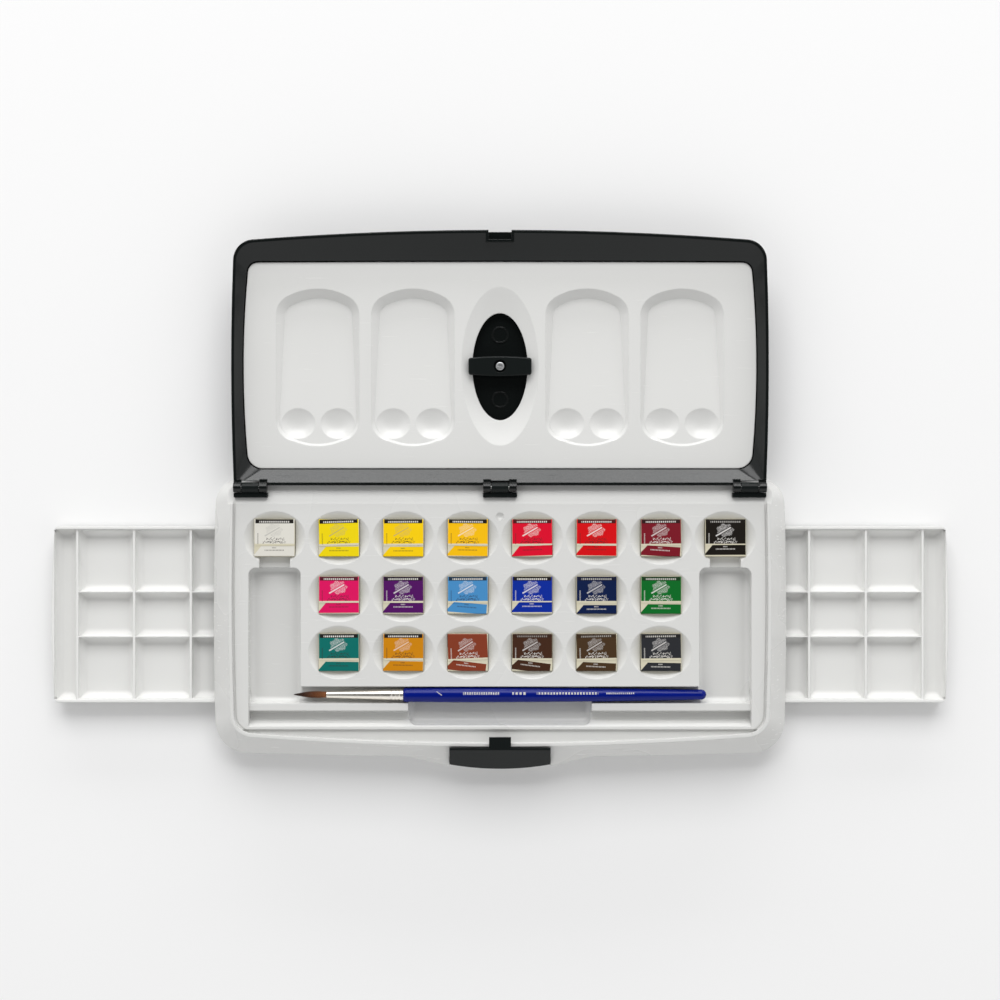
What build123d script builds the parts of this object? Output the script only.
from build123d import *
import os
from math import sqrt

os.makedirs("parts", exist_ok=True)

# ---------------------------------------------------------------------------
# Watercolour pan set, opened flat, in millimetres.
# X runs along the hinge, Y from the latch to the hinge, Z up. The origin is on
# the underside of the case, midway between the hinge axis and the front rim.
# ---------------------------------------------------------------------------

# Half pans and the grid that they stand in
pan_pitch_x = 31.5
pan_pitch_y = 28.0
pan_length = 19.1
pan_width = 17.5
pan_height = 9.6
pan_wall = 0.9
paint_below_rim = 1.0
wrapper_paper = 0.2
socket_clearance = 0.3
pan_proud = 0.5
dish_margin_x = 1.3
dish_margin_y = 1.9
dish_depth = 4.5

row_colours = [
    ["white", "lemon_yellow", "cadmium_yellow", "golden_yellow",
     "crimson", "bright_red", "alizarin", "black"],
    ["magenta", "purple", "sky_blue", "ultramarine", "indigo", "green"],
    ["viridian", "ochre", "burnt_sienna", "dark_brown", "raw_umber", "grey_blue"],
]

# Case, from the pans outwards
row_to_hinge = 24.7
row_to_channel = 16.7
channel_to_rim = 28.3
pan_to_rim = 21.45
side_apron = 9.8
front_apron = 7.4
rear_apron = 4.7
side_bow = 1.3
front_bow = 5.4
lower_front_bow = 2.4
rim_radius = 11.0
lower_front_radius = 16.0
lower_rear_radius = 13.0
case_wall = 2.4
rim_bead = 1.6
rim_above_deck = 2.0
ledge_run = 8.0
ledge_drop = 2.0
gutter_depth = 1.4
side_groove = 0.9
side_groove_depth = 0.35
bulge_root = 5.3
rim_shoulder = 14.0
apron_above_bay = 1.2
deck_roof = 1.8
core_wall = 1.4

# Tray for the brush and the troughs beside the pans
trough_width = 25.4
trough_depth = 8.6
trough_radius = 3.5
neck_width = 15.0
bar_inner_x = 45.0
bar_below_deck = 1.8
bar_width = 3.6
valley_width = 3.8
valley_depth = 6.5
valley_slope = 2.7
scoop_depth = 9.0
lip_width = 1.5
dimple_diameter = 3.9

# Bottom cover and pull-out palettes
cover_thickness = 2.0
cover_clearance = 0.2
tray_height = 8.3
tray_headroom = 0.5
tray_width = 87.2
tray_travel = 80.6
tray_centre_gap = 16.4
tray_wall = 1.4
tray_floor = 1.6
tray_cove = 3.5
tray_rib = 1.2
tray_rib_below = 0.8
tray_trough = 12.5
tray_columns = 4
tray_middle_row = 22.8
tray_end_bow = 1.5
tray_ear = 1.4
tray_ear_length = 3.0
tray_side_gap = 0.4
rail_width = 2.4
socket_floor = 1.7

# Hinges
hinge_width = 16.3
hinge_inset = 1.35
knuckle_radius = 2.4
knuckle_gap = 0.3
middle_knuckle = 8.3
hinge_pin_diameter = 1.6
hinge_foot_depth = 2.1
hinge_reach = 4.8
hinge_web = 4.0

# Lid, its palette and the turn-button
lid_depth = 14.8
lid_wall = 1.5
lid_floor = 1.6
lid_rim = 1.4
lid_side_inset = 0.5
lid_rear_radius = 3.0
palette_gap = 0.5
palette_plate = 1.8
palette_skin = 1.4
palette_under_gap = 0.8
palette_side_inset = 5.7
palette_side_bow = 2.6
palette_rear_inset = 9.4
palette_front_inset = 14.8
palette_far_radius = 5.0
palette_near_radius = 7.5
well_width = 41.0
well_length = 77.3
well_arch = 7.8
well_corner = 10.0
well_depth = 4.5
well_shallow = 0.9
well_slope_run = 4.5
well_pitch = 46.8
well_first_x = 42.8
cup_width = 16.8
cup_length = 15.0
cup_depth = 2.2
cup_spacing = 19.4
cup_from_end = 11.6
centre_dish_width = 38.0
centre_dish_length = 78.0
centre_dish_depth = 5.0
oval_width = 27.2
oval_length = 52.8
post_diameter = 5.0
boss_diameter = 8.2
ring_spacing = 16.0
ring_height = 0.5

button_length = 31.0
button_width = 9.8
button_end_width = 8.1
button_thickness = 3.2
button_above_dish = 3.6
screw_head = 4.2
screw_head_height = 1.6
screw_shank = 2.4
screw_recess = 6.3

# Latch
latch_half_width = 24.7
latch_tab_half_width = 5.35
latch_tab_reach = 5.2
latch_tab_thickness = 1.9
latch_gap = 0.3
tab_slot_height = 5.4
tab_slot_reach = 4.3
tab_slot_wall = 1.3
latch_knuckle = 1.7
latch_pin_diameter = 1.6
latch_bow = 2.6
latch_bulge = 4.3
bulge_half_width = 26.5
bulge_run = 21.5

# Brush
brush_length = 202.4
brush_tip_x = -101.2
tuft_length = 16.1
tuft_diameter = 3.4
ferrule_length = 37.8
ferrule_front = 3.5
ferrule_back = 5.8
ferrule_wall = 0.3
ferrule_grip = 12.0
handle_start = 7.2
handle_belly = 7.8
handle_belly_at = 33.0
handle_end = 5.0
channel_clearance = 0.3

# ---------------------------------------------------------------------------
# Levels and places worked out from them
# ---------------------------------------------------------------------------
tray_top = cover_thickness + tray_height
deck_under = tray_top + tray_headroom
pan_floor_z = deck_under + socket_floor
wrapped_height = pan_height + 2 * wrapper_paper
deck_z = pan_floor_z + wrapped_height - pan_proud
rim_z = deck_z + rim_above_deck
apron_z = deck_under + apron_above_bay

rim_run = row_to_hinge + 2 * pan_pitch_y + row_to_channel + channel_to_rim
hinge_y = rim_run / 2
hinge_z = rim_z
rim_front = -hinge_y
row_y = [hinge_y - row_to_hinge - row * pan_pitch_y for row in range(3)]
rim_half = 3.5 * pan_pitch_x + pan_to_rim
case_half = rim_half + side_apron
case_front = rim_front - front_apron
case_rear = hinge_y + rear_apron
channel_back = row_y[2] - row_to_channel

wrapped_length = pan_length + 2 * wrapper_paper
wrapped_width = pan_width + 2 * wrapper_paper
socket_length = wrapped_length + 2 * socket_clearance
socket_width = wrapped_width + 2 * socket_clearance

channel_radius = handle_belly / 2 + channel_clearance
brush_y = channel_back - channel_radius
brush_z = deck_z - 3.0
channel_front = brush_y - channel_radius
bar_front = channel_front - bar_width
valley_front = bar_front - valley_width - 1.0
lip_back = valley_front - valley_slope
lip_front = lip_back - lip_width
trough_x = 3.5 * pan_pitch_x
trough_back = row_y[0] - 14.6
ledge_y = hinge_y - ledge_run

tray_outer_x = case_half + tray_travel
tray_length = case_half - tray_centre_gap
tray_inner_x = tray_outer_x - tray_length
tray_half = tray_width / 2

block_x = rim_half - hinge_inset - hinge_width / 2 - 0.35
hinge_centres = [-block_x, 0.0, block_x]

lid_half = rim_half - lid_side_inset
lid_near = hinge_y + 1.0
lid_far = 2 * hinge_y - rim_front
lid_bottom = rim_z - lid_depth
palette_face_depth = lid_depth - lid_floor - palette_under_gap - palette_skin - well_depth
palette_z = rim_z - palette_face_depth
palette_half = lid_half - palette_side_inset + 0.5
palette_near = lid_near + palette_rear_inset - 1.0
palette_far = lid_far - palette_front_inset
palette_mid = (palette_near + palette_far) / 2 - 0.6
well_near = palette_near + 11.0
well_far = well_near + well_length
well_centres = [side * (well_first_x + step * well_pitch) for side in (-1, 1) for step in (0, 1)]

latch_y = case_front - 1.3
bulge_front = case_front - latch_bulge
latch_z = deck_under - 1.2


# ---------------------------------------------------------------------------
# Shared shapes
# ---------------------------------------------------------------------------
def bowed_outline(half_width, front, rear, bow_side, bow_front, front_radius, rear_radius):
    """An outline with bowed sides, a bowed front, a straight rear and rounded corners."""
    toward_rear = 1 if rear > front else -1
    corner_y = front + toward_rear * bow_front
    corner_x = half_width - bow_side
    with BuildSketch() as outline:
        with BuildLine():
            ThreePointArc((-corner_x, corner_y), (0, front), (corner_x, corner_y))
            ThreePointArc((corner_x, corner_y), (half_width, (corner_y + rear) / 2), (corner_x, rear))
            Line((corner_x, rear), (-corner_x, rear))
            ThreePointArc((-corner_x, rear), (-half_width, (corner_y + rear) / 2), (-corner_x, corner_y))
        make_face()
        fillet(outline.vertices().sort_by(Axis.Y, reverse=front > rear)[-2:], rear_radius)
        fillet(outline.vertices().sort_by(Axis.Y, reverse=front > rear)[:2], front_radius)
    return outline.sketch


def rim_outline(inset=0.0, rear=hinge_y + 0.7):
    """The bead that the lid closes on, or the same line further in."""
    return bowed_outline(rim_half + 0.8 - inset, rim_front - 0.8 + inset, rear,
                         side_bow, front_bow, rim_radius - inset, 6.0)


def lower_outline(inset=0.0):
    """The widest line of the case, or the same line further in."""
    return bowed_outline(case_half - inset, case_front + inset, case_rear - inset,
                         side_bow, lower_front_bow, lower_front_radius - inset, lower_rear_radius - inset)


def bulge_outline(reach, shoulder_y, face_y):
    """The swelling of the front wall, reaching past the latch by reach on both sides."""
    outer = bulge_half_width + reach
    with BuildSketch() as outline:
        Polygon((-outer, shoulder_y + bulge_root), (-outer, shoulder_y), (-bulge_half_width, face_y),
                (bulge_half_width, face_y), (outer, shoulder_y), (outer, shoulder_y + bulge_root),
                align=None)
    return outline.sketch


def side_plane(x):
    """A plane across the case at x, whose own x and y are the case's Y and Z."""
    return Plane(origin=(x, 0, 0), x_dir=(0, 1, 0), z_dir=(1, 0, 0))


def cap_tool(width, length, depth):
    """An ellipsoid whose cap, cut by the plane through the origin, is width by length by depth."""
    radius = ((width / 2) ** 2 + depth ** 2) / (2 * depth)
    with BuildPart() as cap:
        Sphere(radius)
        scale(by=(1, length / width, 1))
    return cap.part.moved(Location((0, 0, radius - depth)))


def save(part, name):
    """Label one sub-part and write it as its own file."""
    part.label = name
    export_step(part, f"parts/{name}.step")


# ---------------------------------------------------------------------------
# Base moulding: rim, deck, pan sockets, troughs and brush channel
# ---------------------------------------------------------------------------
pan_stations = []
for row, colours in enumerate(row_colours):
    for column, colour in enumerate(colours):
        x = (column - (len(colours) - 1) / 2) * pan_pitch_x
        pan_stations.append((colour, x, row_y[row]))
station_points = [(x, y, 0) for colour, x, y in pan_stations]

finger_dish = cap_tool(pan_pitch_x - dish_margin_x, pan_pitch_y - dish_margin_y, dish_depth)

trough_length = trough_back - channel_front
with BuildPart() as side_trough:
    with BuildSketch(Plane.XY.offset(deck_z - trough_depth)):
        RectangleRounded(trough_width, trough_length, trough_radius)
    extrude(amount=2 * trough_depth)
    fillet(side_trough.edges().group_by(Axis.Z)[0], trough_radius - 0.5)

scoop_width = channel_back - lip_back - 0.4
with BuildPart() as finger_scoop:
    with BuildSketch(Plane.XY.offset(deck_z - scoop_depth)):
        RectangleRounded(2 * bar_inner_x, scoop_width, 4.0)
    extrude(amount=2 * scoop_depth)
    fillet(finger_scoop.edges().group_by(Axis.Z)[0], 3.5)

latch_slope = [
    (rim_front - 0.85, rim_z + 0.6),
    (latch_y + 0.1, latch_z + 5.0),
    (latch_y + 0.1, latch_z - latch_knuckle - 0.35),
    (latch_y - 12, latch_z - latch_knuckle - 0.35),
    (latch_y - 12, rim_z + 0.6),
]

with BuildPart() as base_moulding:
    # Wall and apron
    with BuildSketch():
        add(lower_outline())
    extrude(amount=apron_z)
    with BuildSketch(Plane.XY.offset(apron_z)):
        add(lower_outline())
    with BuildSketch(Plane.XY.offset(rim_z)):
        add(rim_outline())
    loft(ruled=True)

    # Swelling of the front wall around the latch
    with BuildSketch():
        add(bulge_outline(bulge_run, case_front + 0.7, bulge_front))
    extrude(amount=apron_z)
    with BuildSketch(Plane.XY.offset(apron_z)):
        add(bulge_outline(bulge_run, case_front + 0.7, bulge_front))
    with BuildSketch(Plane.XY.offset(rim_z)):
        add(bulge_outline(rim_shoulder, rim_front + 0.4, rim_front - 0.5))
    loft(ruled=True)

    # Deck inside the bead, the groove beside it and the gutter along the front
    with BuildSketch(Plane.XY.offset(deck_z)):
        add(rim_outline(inset=rim_bead, rear=case_rear + 10))
    extrude(amount=rim_above_deck + 1, mode=Mode.SUBTRACT)
    with BuildSketch(Plane.XY.offset(deck_z - side_groove_depth)):
        add(rim_outline(inset=rim_bead, rear=case_rear + 10))
        add(rim_outline(inset=rim_bead + side_groove, rear=case_rear + 12), mode=Mode.SUBTRACT)
    extrude(amount=1, mode=Mode.SUBTRACT)
    with BuildSketch(Plane.XY.offset(deck_z - gutter_depth)):
        add(rim_outline(inset=rim_bead, rear=case_rear + 10))
        with Locations((0, lip_front)):
            Rectangle(4 * rim_half, 40, align=(Align.CENTER, Align.MAX), mode=Mode.INTERSECT)
    extrude(amount=gutter_depth + 1, mode=Mode.SUBTRACT)

    # Rear ledge, falling away towards the hinges
    ledge_end = case_rear + 6
    ledge_end_z = deck_z - ledge_drop * (ledge_end - ledge_y) / ledge_run
    with BuildSketch(side_plane(-case_half - 5)):
        Polygon((ledge_y, deck_z), (ledge_end, ledge_end_z), (ledge_end, rim_z + 5), (ledge_y, rim_z + 5),
                align=None)
    extrude(amount=2 * case_half + 10, mode=Mode.SUBTRACT)

    # Finger dishes and sockets of the pans
    with Locations(*[(x, y, deck_z) for x, y, z in station_points]):
        add(finger_dish, mode=Mode.SUBTRACT)
    with BuildSketch(Plane.XY.offset(pan_floor_z)):
        with Locations(*[(x, y) for x, y, z in station_points]):
            RectangleRounded(socket_length, socket_width, 0.6)
    extrude(amount=pan_height + 5, mode=Mode.SUBTRACT)

    # Troughs beside the pans, and the necks that open them to the corner pans
    with Locations(*[(side * trough_x, (trough_back + channel_front) / 2, 0) for side in (-1, 1)]):
        add(side_trough.part, mode=Mode.SUBTRACT)
    with BuildSketch(Plane.XY.offset(deck_z - 4.0)):
        with Locations(*[(side * trough_x, trough_back - 6) for side in (-1, 1)]):
            Rectangle(neck_width, 14, align=(Align.CENTER, Align.MIN))
    extrude(amount=10, mode=Mode.SUBTRACT)

    # Brush channel, the bars in front of it, the valley and the finger scoop
    front_half = trough_x + trough_width / 2
    with BuildSketch(side_plane(-front_half)):
        with Locations((brush_y, brush_z)):
            Circle(channel_radius)
            Rectangle(2 * channel_radius, 20, align=(Align.CENTER, Align.MIN))
        with Locations((channel_front + 0.5, deck_z - bar_below_deck)):
            Rectangle(bar_width + 1.5, 20, align=(Align.MAX, Align.MIN))
        Polygon((bar_front, deck_z + 10), (bar_front, deck_z - bar_below_deck),
                (bar_front - 1.0, deck_z - valley_depth), (valley_front, deck_z - valley_depth),
                (lip_back, deck_z), (lip_back, deck_z + 10), align=None)
    extrude(amount=2 * front_half, mode=Mode.SUBTRACT)
    with Locations((0, channel_back - scoop_width / 2, 0)):
        add(finger_scoop.part, mode=Mode.SUBTRACT)
    with Locations((0, row_y[0] + 10.4, deck_z + 0.9)):
        Sphere(dimple_diameter / 2 + 0.2, mode=Mode.SUBTRACT)

    # Bay under the deck, with the rails of the pull-out palettes
    with BuildSketch():
        add(lower_outline(case_wall))
    extrude(amount=deck_under, mode=Mode.SUBTRACT)
    with BuildSketch(Plane.XY.offset(cover_thickness)):
        Rectangle(2 * (tray_centre_gap - 2.5), tray_width + 2 * (tray_ear + tray_side_gap + rail_width))
        for side in (-1, 1):
            with Locations((0, side * (tray_half + tray_ear + tray_side_gap + rail_width / 2))):
                Rectangle(2 * (case_half - case_wall), rail_width)
            for end in (-1, 1):
                narrow = case_half - case_wall / 2 - tray_inner_x - tray_ear_length - tray_side_gap
                step_x = tray_inner_x + tray_ear_length + tray_side_gap
                with Locations((end * (step_x + narrow / 2), side * (tray_half + tray_side_gap + 1.0))):
                    Rectangle(narrow, 2.0)
    extrude(amount=deck_under - cover_thickness)
    for side in (-1, 1):
        with BuildSketch(Plane.XY.offset(cover_thickness)):
            with Locations((side * (case_half + 5), 0)):
                Rectangle(20, 2 * (tray_half + tray_side_gap))
        extrude(amount=deck_under - cover_thickness, mode=Mode.SUBTRACT)

    # Cores under the deck, between the sockets and along the edges
    core_top = deck_z - dish_depth + 1.0
    core_x = pan_pitch_x - socket_length - 2 * core_wall
    core_y = pan_pitch_y - socket_width - 2 * core_wall
    with BuildSketch(Plane.XY.offset(deck_under - 0.1)):
        for row, colours in enumerate(row_colours):
            with Locations((0, row_y[row])):
                with GridLocations(pan_pitch_x, 1, len(colours) - 1, 1):
                    Rectangle(core_x, socket_width)
        for between in (row_y[0] - pan_pitch_y / 2, row_y[1] - pan_pitch_y / 2):
            with Locations((0, between)):
                Rectangle(5.6 * pan_pitch_x, core_y)
    extrude(amount=core_top - deck_under, mode=Mode.SUBTRACT)
    with BuildSketch(Plane.XY.offset(deck_under - 0.1)):
        for side in (-1, 1):
            with Locations((side * (front_half + core_wall), 0)):
                Rectangle(5.2, 1.5 * hinge_y, align=(Align.MIN if side > 0 else Align.MAX, Align.CENTER))
    extrude(amount=deck_z - deck_roof - deck_under, mode=Mode.SUBTRACT)

    # Seats of the hinge blocks
    seat_floor = deck_z - ledge_drop - 2.5
    for x in hinge_centres:
        with BuildSketch(Plane.XY.offset(seat_floor)):
            with Locations((x, hinge_y - hinge_reach - 0.1)):
                Rectangle(hinge_width + 0.3, hinge_foot_depth + 0.2, align=(Align.CENTER, Align.MIN))
                Rectangle(middle_knuckle + 0.3, hinge_reach + 0.3, align=(Align.CENTER, Align.MIN))
        extrude(amount=20, mode=Mode.SUBTRACT)

    # Pocket of the latch, and the bore of its pin
    with BuildSketch(side_plane(-latch_half_width - latch_gap)):
        Polygon(*latch_slope, align=None)
        with Locations((latch_y, latch_z)):
            Circle(latch_knuckle + 0.35)
    extrude(amount=2 * (latch_half_width + latch_gap), mode=Mode.SUBTRACT)
    with BuildSketch(side_plane(-latch_half_width - 2.2)):
        with Locations((latch_y, latch_z)):
            Circle(latch_pin_diameter / 2)
    extrude(amount=2 * (latch_half_width + 2.2), mode=Mode.SUBTRACT)
save(base_moulding.part, "base_moulding")

with BuildPart() as bottom_cover:
    with BuildSketch():
        add(lower_outline(case_wall + cover_clearance))
    extrude(amount=cover_thickness)
    chamfer(bottom_cover.edges().group_by(Axis.Z)[0], 0.4)
save(bottom_cover.part, "bottom_cover")


# ---------------------------------------------------------------------------
# Pull-out palettes
# ---------------------------------------------------------------------------
def hollow_tool(length, width):
    """A square-cornered hollow with a coved floor at the origin, open upwards."""
    with BuildPart() as hollow:
        Box(length, width, 2 * tray_height, align=(Align.CENTER, Align.CENTER, Align.MIN))
        fillet(hollow.edges().group_by(Axis.Z)[0], tray_cove)
    return hollow.part


tray_row_width = (tray_width - 2 * tray_wall - tray_middle_row - tray_rib) / 2
column_pitch = (tray_length - tray_trough) / tray_columns
cell_length = column_pitch - tray_rib
outer_row_cell = hollow_tool(cell_length, tray_row_width)
middle_row_cell = hollow_tool(cell_length, tray_middle_row - tray_rib)
trough_cell = hollow_tool(tray_trough - tray_wall - tray_rib / 2, tray_width - 2 * tray_wall)

for side, tray_name in ((-1, "left_palette"), (1, "right_palette")):
    with BuildPart() as pull_out:
        with BuildSketch(Plane.XY.offset(cover_thickness)):
            with BuildLine():
                end_corner = side * (tray_outer_x - tray_end_bow)
                ThreePointArc((end_corner, -tray_half), (side * tray_outer_x, 0), (end_corner, tray_half))
                Polyline((end_corner, tray_half), (side * tray_inner_x, tray_half),
                         (side * tray_inner_x, -tray_half), (end_corner, -tray_half))
            make_face()
        extrude(amount=tray_height)
        fillet(pull_out.edges().filter_by(Axis.Z).group_by(Axis.X)[-1 if side > 0 else 0], 2.0)
        with BuildSketch(Plane.XY.offset(cover_thickness)):
            with Locations((side * (tray_inner_x + tray_ear_length / 2), 0)):
                Rectangle(tray_ear_length, tray_width + 2 * tray_ear)
        extrude(amount=tray_height)
        floor_z = cover_thickness + tray_floor
        trough_middle = tray_outer_x - tray_wall - (tray_trough - tray_wall - tray_rib / 2) / 2
        with Locations((side * trough_middle, 0, floor_z)):
            add(trough_cell, mode=Mode.SUBTRACT)
        first_column = tray_inner_x + column_pitch / 2
        for column in range(tray_columns):
            cell_x = side * (first_column + column * column_pitch)
            if column == 0:
                cell_x += side * tray_rib / 4
            row_offset = (tray_middle_row + tray_row_width) / 2
            with Locations((cell_x, row_offset, floor_z), (cell_x, -row_offset, floor_z)):
                add(outer_row_cell, mode=Mode.SUBTRACT)
            with Locations((cell_x, 0, floor_z)):
                add(middle_row_cell, mode=Mode.SUBTRACT)
        with BuildSketch(Plane.XY.offset(tray_top - tray_rib_below)):
            with Locations((side * (tray_inner_x + tray_length / 2), 0)):
                Rectangle(tray_length - 2 * tray_wall - 2 * tray_end_bow, tray_width - 2 * tray_wall)
        extrude(amount=tray_rib_below, mode=Mode.SUBTRACT)
    save(pull_out.part, tray_name)


# ---------------------------------------------------------------------------
# Hinges
# ---------------------------------------------------------------------------
hinge_names = ["left_hinge_block", "centre_hinge_block", "right_hinge_block"]
for x, block_name in zip(hinge_centres, hinge_names):
    with BuildPart() as hinge_block:
        with BuildSketch(side_plane(x - hinge_width / 2)):
            with Locations((hinge_y - hinge_reach, seat_floor)):
                Rectangle(hinge_foot_depth, rim_z - 0.3 - seat_floor, align=(Align.MIN, Align.MIN))
        extrude(amount=hinge_width)
        with BuildSketch(side_plane(x - middle_knuckle / 2)):
            with Locations((hinge_y - hinge_reach, seat_floor)):
                Rectangle(hinge_reach, rim_z - 0.3 - seat_floor, align=(Align.MIN, Align.MIN))
            with Locations((hinge_y, hinge_z)):
                Circle(knuckle_radius)
        extrude(amount=middle_knuckle)
        with BuildSketch(side_plane(x - hinge_width / 2)):
            with Locations((hinge_y, hinge_z)):
                Circle(hinge_pin_diameter / 2 + 0.02)
        extrude(amount=hinge_width, mode=Mode.SUBTRACT)
    save(hinge_block.part, block_name)

with BuildPart() as hinge_pins:
    for x in hinge_centres:
        with BuildSketch(side_plane(x - hinge_width / 2 + 0.4)):
            with Locations((hinge_y, hinge_z)):
                Circle(hinge_pin_diameter / 2)
        extrude(amount=hinge_width - 0.8)
save(hinge_pins.part, "hinge_pins")


# ---------------------------------------------------------------------------
# Lid shell
# ---------------------------------------------------------------------------
def lid_outline(inset=0.0):
    """The free edge of the lid, or the same line further in."""
    return bowed_outline(lid_half - inset, lid_far - inset, lid_near + inset,
                         side_bow, front_bow, rim_radius - 0.8 - inset, lid_rear_radius - inset / 2)


def palette_outline(grow=0.0):
    """The palette that lies in the lid, or the same line further out."""
    return bowed_outline(palette_half + grow, palette_far + grow, palette_near - grow,
                         palette_side_bow, 0.3, palette_far_radius + grow, palette_near_radius + grow)


button_z = palette_z - centre_dish_depth + button_above_dish
shoulder_z = palette_z - 0.3
with BuildPart() as lid_shell:
    with BuildSketch(Plane.XY.offset(lid_bottom)):
        add(palette_outline(palette_gap + lid_wall))
    extrude(amount=shoulder_z - lid_bottom)
    fillet(lid_shell.edges().group_by(Axis.Z)[0], 1.4)
    with BuildSketch(Plane.XY.offset(shoulder_z)):
        add(palette_outline(palette_gap + lid_wall))
    with BuildSketch(Plane.XY.offset(rim_z)):
        add(lid_outline())
    loft(ruled=True)
    with BuildSketch(Plane.XY.offset(lid_bottom + lid_floor)):
        add(palette_outline(palette_gap))
    extrude(amount=lid_depth, mode=Mode.SUBTRACT)
    with BuildSketch(Plane.XY.offset(shoulder_z + lid_wall)):
        add(palette_outline(palette_gap))
    with BuildSketch(Plane.XY.offset(rim_z)):
        add(lid_outline(lid_rim))
    loft(ruled=True, mode=Mode.SUBTRACT)

    # Boss of the turn-button, moulded rings, and posts under the palette
    inside_z = lid_bottom + lid_floor
    with BuildSketch(Plane.XY.offset(inside_z)):
        with Locations((0, palette_mid)):
            Circle(boss_diameter / 2)
    extrude(amount=button_z - inside_z)
    with BuildSketch(Plane.XY.offset(inside_z)):
        with Locations((0, palette_mid - ring_spacing), (0, palette_mid + ring_spacing)):
            Circle(boss_diameter / 2)
            Circle(boss_diameter / 2 - 0.6, mode=Mode.SUBTRACT)
    extrude(amount=ring_height)
    with BuildSketch(Plane.XY.offset(inside_z)):
        for post_y in (palette_near + 6, palette_far - 6):
            with Locations((-palette_half + 9, post_y), (0, post_y), (palette_half - 9, post_y)):
                Circle(post_diameter / 2)
    extrude(amount=palette_z - palette_plate - inside_z)
    with BuildSketch(Plane.XY.offset(button_z)):
        with Locations((0, palette_mid)):
            Circle(screw_shank / 2)
    extrude(amount=-3.6, mode=Mode.SUBTRACT)

    # Hinge knuckles either side of each block, and the notch for the block itself
    ear = (hinge_width - middle_knuckle) / 2 - knuckle_gap
    for x in hinge_centres:
        for side in (-1, 1):
            ear_start = x + side * (middle_knuckle / 2 + knuckle_gap) - (ear if side < 0 else 0)
            with BuildSketch(side_plane(ear_start)):
                with Locations((hinge_y, hinge_z)):
                    Circle(knuckle_radius)
                with Locations((hinge_y, hinge_z)):
                    Rectangle(hinge_web, knuckle_radius, align=(Align.MIN, Align.MAX))
            extrude(amount=ear)
        notch_half = middle_knuckle / 2 + knuckle_gap
        with BuildSketch(side_plane(x - notch_half)):
            with Locations((hinge_y - 5, hinge_z - knuckle_radius - 0.6)):
                Rectangle(5 + hinge_web - 0.8, 10, align=(Align.MIN, Align.MIN))
        extrude(amount=2 * notch_half, mode=Mode.SUBTRACT)
        with BuildSketch(side_plane(x - hinge_width / 2 - 1)):
            with Locations((hinge_y, hinge_z)):
                Circle(hinge_pin_diameter / 2 + 0.06)
        extrude(amount=hinge_width + 2, mode=Mode.SUBTRACT)

    # Box in the far wall with the slot that takes the tab of the latch
    slot_half = latch_tab_half_width + latch_gap
    slot_floor = rim_z - tab_slot_height
    with BuildSketch(Plane.XY.offset(slot_floor - tab_slot_wall)):
        with Locations((0, lid_far - 0.3)):
            Rectangle(2 * (slot_half + tab_slot_wall), tab_slot_reach + tab_slot_wall,
                      align=(Align.CENTER, Align.MAX))
    extrude(amount=tab_slot_height + tab_slot_wall)
    with BuildSketch(Plane.XY.offset(slot_floor)):
        with Locations((0, lid_far - 0.3 - tab_slot_reach)):
            Rectangle(2 * slot_half, 20, align=(Align.CENTER, Align.MIN))
    extrude(amount=2 * tab_slot_height, mode=Mode.SUBTRACT)
save(lid_shell.part, "lid_shell")


# ---------------------------------------------------------------------------
# Lid palette
# ---------------------------------------------------------------------------
def well_outline(grow):
    """A straight-sided well with a flat elliptical arch at both ends."""
    half = well_width / 2 + grow
    arch = well_arch + grow / 2
    low = well_near - grow
    high = well_far + grow
    with BuildSketch() as outline:
        with BuildLine():
            ThreePointArc((half, high - arch), (0, high), (-half, high - arch))
            Line((-half, high - arch), (-half, low + arch))
            ThreePointArc((-half, low + arch), (0, low), (half, low + arch))
            Line((half, low + arch), (half, high - arch))
        make_face()
        fillet(outline.vertices(), well_corner + grow)
    return outline.sketch


def well_tool(grow, drop):
    """A well whose floor rises from the far end, grown and lowered by the skin for its underside."""
    deep = well_depth + drop
    with BuildPart() as well:
        with BuildSketch(Plane.XY.offset(palette_z)):
            add(well_outline(grow))
        with BuildSketch(Plane.XY.offset(palette_z - deep)):
            add(well_outline(grow - well_slope_run))
        loft(ruled=True)
        floor_far = palette_z - deep
        floor_near = palette_z - well_shallow - drop
        with BuildSketch(side_plane(-well_width)):
            Polygon((well_far, floor_far), (well_near, floor_near), (well_near - 9, floor_near),
                    (well_near - 9, floor_far - 3), (well_far + 9, floor_far - 3),
                    (well_far + 9, floor_far), align=None)
        extrude(amount=2 * well_width, mode=Mode.SUBTRACT)
    return well.part


well_pocket = well_tool(0.0, 0.0)
well_shell = well_tool(palette_skin, palette_skin)
cup_tool = cap_tool(cup_width, cup_length, cup_depth)
cup_shell = cap_tool(cup_width + 2 * palette_skin, cup_length + 2 * palette_skin, cup_depth + palette_skin)
centre_tool = cap_tool(centre_dish_width, centre_dish_length, centre_dish_depth)
centre_shell = cap_tool(centre_dish_width + 3, centre_dish_length + 3, centre_dish_depth + palette_skin)
cup_y = well_near + cup_from_end
cup_z = palette_z - well_shallow - (well_depth - well_shallow) * cup_from_end / well_length
cup_points = [(x + side * cup_spacing / 2, cup_y, cup_z) for x in well_centres for side in (-1, 1)]

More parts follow.
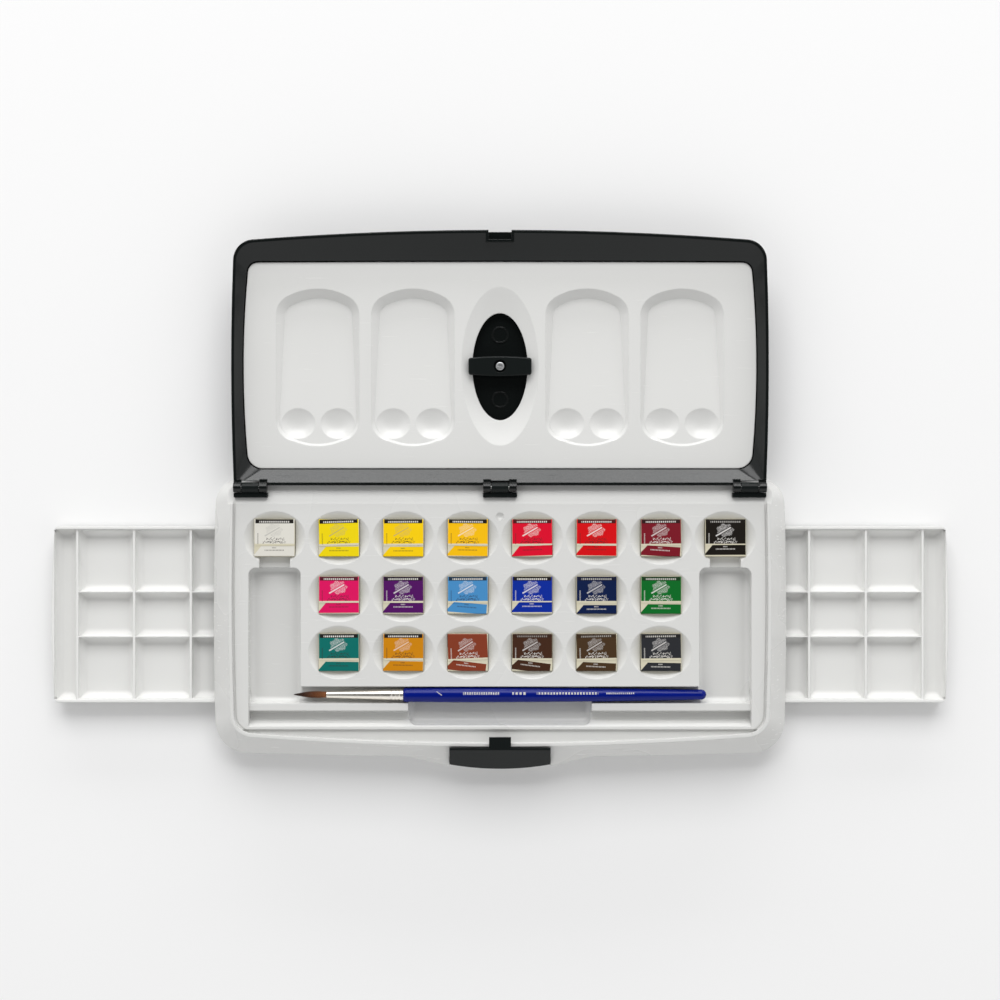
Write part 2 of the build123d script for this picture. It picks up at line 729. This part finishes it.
with BuildPart() as lid_palette:
    with Locations(*[(x, 0, 0) for x in well_centres]):
        add(well_shell)
    with Locations(*cup_points):
        add(cup_shell)
    with Locations((0, palette_mid, palette_z)):
        add(centre_shell)
    with BuildSketch(Plane.XY.offset(palette_z)):
        Rectangle(900, 900)
    extrude(amount=200, mode=Mode.SUBTRACT)
    with BuildSketch(Plane.XY.offset(palette_z - palette_plate)):
        add(palette_outline())
    extrude(amount=palette_plate)
    with Locations(*[(x, 0, 0) for x in well_centres]):
        add(well_pocket, mode=Mode.SUBTRACT)
    with Locations(*cup_points):
        add(cup_tool, mode=Mode.SUBTRACT)
    with Locations((0, palette_mid, palette_z)):
        add(centre_tool, mode=Mode.SUBTRACT)
    with BuildSketch(Plane.XY.offset(lid_bottom)):
        with Locations((0, palette_mid)):
            Ellipse(oval_width / 2, oval_length / 2)
    extrude(amount=lid_depth, mode=Mode.SUBTRACT)
save(lid_palette.part, "lid_palette")


# ---------------------------------------------------------------------------
# Turn-button and its screw
# ---------------------------------------------------------------------------
recess_z = button_z + button_thickness - 1.9
with BuildPart() as turn_button:
    with BuildSketch(Plane((0, palette_mid, button_z))):
        with BuildLine():
            half_length = button_length / 2
            half_end = button_end_width / 2
            ThreePointArc((-half_length, half_end), (0, button_width / 2), (half_length, half_end))
            Line((half_length, half_end), (half_length, -half_end))
            ThreePointArc((half_length, -half_end), (0, -button_width / 2), (-half_length, -half_end))
            Line((-half_length, -half_end), (-half_length, half_end))
        make_face()
        fillet(vertices(), 1.2)
    extrude(amount=button_thickness)
    fillet(turn_button.edges().group_by(Axis.Z)[-1], 0.8)
    with BuildSketch(Plane((0, palette_mid, recess_z))):
        Circle(screw_recess / 2)
    extrude(amount=button_thickness, mode=Mode.SUBTRACT)
    with BuildSketch(Plane((0, palette_mid, button_z))):
        Circle(screw_shank / 2 + 0.25)
    extrude(amount=button_thickness, mode=Mode.SUBTRACT)
save(turn_button.part, "turn_button")

with BuildPart() as turn_button_screw:
    with BuildSketch(Plane((0, palette_mid, recess_z))):
        Circle(screw_head / 2)
    extrude(amount=screw_head_height)
    fillet(turn_button_screw.edges().group_by(Axis.Z)[-1], 0.5)
    with BuildSketch(Plane((0, palette_mid, button_z - 3.4))):
        Circle(screw_shank / 2)
    extrude(amount=recess_z - button_z + 3.4)
    with BuildSketch(Plane((0, palette_mid, recess_z + screw_head_height))):
        Rectangle(2.8, 0.6)
        Rectangle(0.6, 2.8)
    extrude(amount=-0.9, mode=Mode.SUBTRACT)
save(turn_button_screw.part, "turn_button_screw")

# ---------------------------------------------------------------------------
# Latch and its pin
# ---------------------------------------------------------------------------
latch_top = rim_z + latch_gap + latch_tab_thickness
latch_front = bulge_front - 1.5
latch_back = rim_front - 1.2
with BuildPart() as front_latch:
    with BuildSketch(side_plane(-latch_half_width)):
        Polygon((latch_back, rim_z + latch_gap), (latch_back, latch_top), (latch_back - 1.0, latch_top),
                (latch_front, latch_z + 3.6), (latch_front, latch_z + 0.6),
                (latch_y, latch_z - latch_knuckle), (latch_y, latch_z + latch_knuckle),
                (latch_y - 0.3, latch_z + 5.0), align=None)
        with Locations((latch_y, latch_z)):
            Circle(latch_knuckle)
    extrude(amount=2 * latch_half_width)
    with BuildSketch(Plane.XY):
        with BuildLine():
            ThreePointArc((-latch_half_width, latch_front + latch_bow), (0, latch_front),
                          (latch_half_width, latch_front + latch_bow))
            Polyline((latch_half_width, latch_front + latch_bow), (latch_half_width, 0),
                     (-latch_half_width, 0), (-latch_half_width, latch_front + latch_bow))
        make_face()
    extrude(amount=2 * rim_z, mode=Mode.INTERSECT)
    with BuildSketch(Plane.XY.offset(rim_z + latch_gap)):
        with Locations((0, latch_back - 0.5)):
            Rectangle(2 * latch_tab_half_width, latch_tab_reach + 0.5, align=(Align.CENTER, Align.MIN))
    extrude(amount=latch_tab_thickness)
    with BuildSketch(side_plane(-latch_half_width)):
        with Locations((latch_y, latch_z)):
            Circle(latch_pin_diameter / 2 + 0.06)
    extrude(amount=2 * latch_half_width, mode=Mode.SUBTRACT)
save(front_latch.part, "front_latch")

with BuildPart() as latch_pin:
    with BuildSketch(side_plane(-latch_half_width - 2.1)):
        with Locations((latch_y, latch_z)):
            Circle(latch_pin_diameter / 2 - 0.02)
    extrude(amount=2 * (latch_half_width + 2.1))
save(latch_pin.part, "latch_pin")

# ---------------------------------------------------------------------------
# Half pans and their wrappers
# ---------------------------------------------------------------------------
for colour, x, y in pan_stations:
    cup_floor = Plane((x, y, pan_floor_z + wrapper_paper))
    with BuildPart() as cup:
        with BuildSketch(cup_floor):
            Rectangle(pan_length, pan_width)
        extrude(amount=pan_height)
        with BuildSketch(cup_floor.offset(pan_wall)):
            Rectangle(pan_length - 2 * pan_wall, pan_width - 2 * pan_wall)
        extrude(amount=pan_height, mode=Mode.SUBTRACT)
    with BuildPart() as cake:
        with BuildSketch(cup_floor.offset(pan_wall)):
            Rectangle(pan_length - 2 * pan_wall, pan_width - 2 * pan_wall)
        extrude(amount=pan_height - pan_wall - paint_below_rim)
    cup.part.label = f"cup_{colour}"
    cake.part.label = f"paint_{colour}"
    save(Compound(children=[cup.part, cake.part]), f"half_pan_{colour}")
    with BuildPart() as wrapper:
        with BuildSketch(side_plane(x - wrapped_length / 2)):
            with Locations((y, pan_floor_z + wrapped_height / 2)):
                Rectangle(wrapped_width, wrapped_height)
                Rectangle(pan_width, pan_height, mode=Mode.SUBTRACT)
        extrude(amount=wrapped_length)
    save(wrapper.part, f"wrapper_{colour}")

# ---------------------------------------------------------------------------
# Brush
# ---------------------------------------------------------------------------
brush_plane = Plane(origin=(brush_tip_x, brush_y, brush_z), x_dir=(1, 0, 0), z_dir=(0, -1, 0))
brush_axis = Axis((brush_tip_x, brush_y, brush_z), (1, 0, 0))
ferrule_end = tuft_length + ferrule_length
fit = 0.04

with BuildPart() as brush_tuft:
    root = ferrule_front / 2 - ferrule_wall - fit
    with BuildSketch(brush_plane):
        with BuildLine():
            Spline((0, 0), (tuft_length * 0.45, tuft_diameter * 0.42),
                   (tuft_length * 0.8, tuft_diameter / 2), (tuft_length - 0.05, root),
                   tangents=((1, 0.35), (1, -0.2)))
            Polyline((tuft_length - 0.05, root), (tuft_length + 8, root), (tuft_length + 8, 0), (0, 0))
        make_face()
    revolve(axis=brush_axis)
save(brush_tuft.part, "brush_tuft")

with BuildPart() as brush_ferrule:
    with BuildSketch(brush_plane):
        Polygon((tuft_length, ferrule_front / 2 - ferrule_wall), (tuft_length, ferrule_front / 2),
                (ferrule_end, ferrule_back / 2), (ferrule_end, ferrule_back / 2 - ferrule_wall), align=None)
    revolve(axis=brush_axis)
save(brush_ferrule.part, "brush_ferrule")

with BuildPart() as brush_handle:
    taper = (ferrule_back - ferrule_front) / 2 / ferrule_length
    tenon_end = ferrule_back / 2 - ferrule_wall - fit
    tenon_tip = tenon_end - taper * ferrule_grip
    belly_x = ferrule_end + handle_belly_at
    with BuildSketch(brush_plane):
        with BuildLine():
            Polyline((ferrule_end - ferrule_grip, 0), (ferrule_end - ferrule_grip, tenon_tip),
                     (ferrule_end, tenon_end), (ferrule_end + 0.05, tenon_end),
                     (ferrule_end + 0.05, handle_start / 2 - 0.4), (ferrule_end + 0.8, handle_start / 2))
            TangentArc((belly_x, handle_belly / 2), (ferrule_end + 0.8, handle_start / 2), tangent=(-1, 0))
            ThreePointArc((belly_x, handle_belly / 2), (belly_x + 66, handle_belly / 2 - 0.55),
                          (brush_length - handle_end / 2, handle_end / 2))
            tip = brush_length - handle_end / 2
            ThreePointArc((tip, handle_end / 2), (tip + handle_end / sqrt(8), handle_end / sqrt(8)),
                          (brush_length, 0))
            Line((brush_length, 0), (ferrule_end - ferrule_grip, 0))
        make_face()
    revolve(axis=brush_axis)
save(brush_handle.part, "brush_handle")
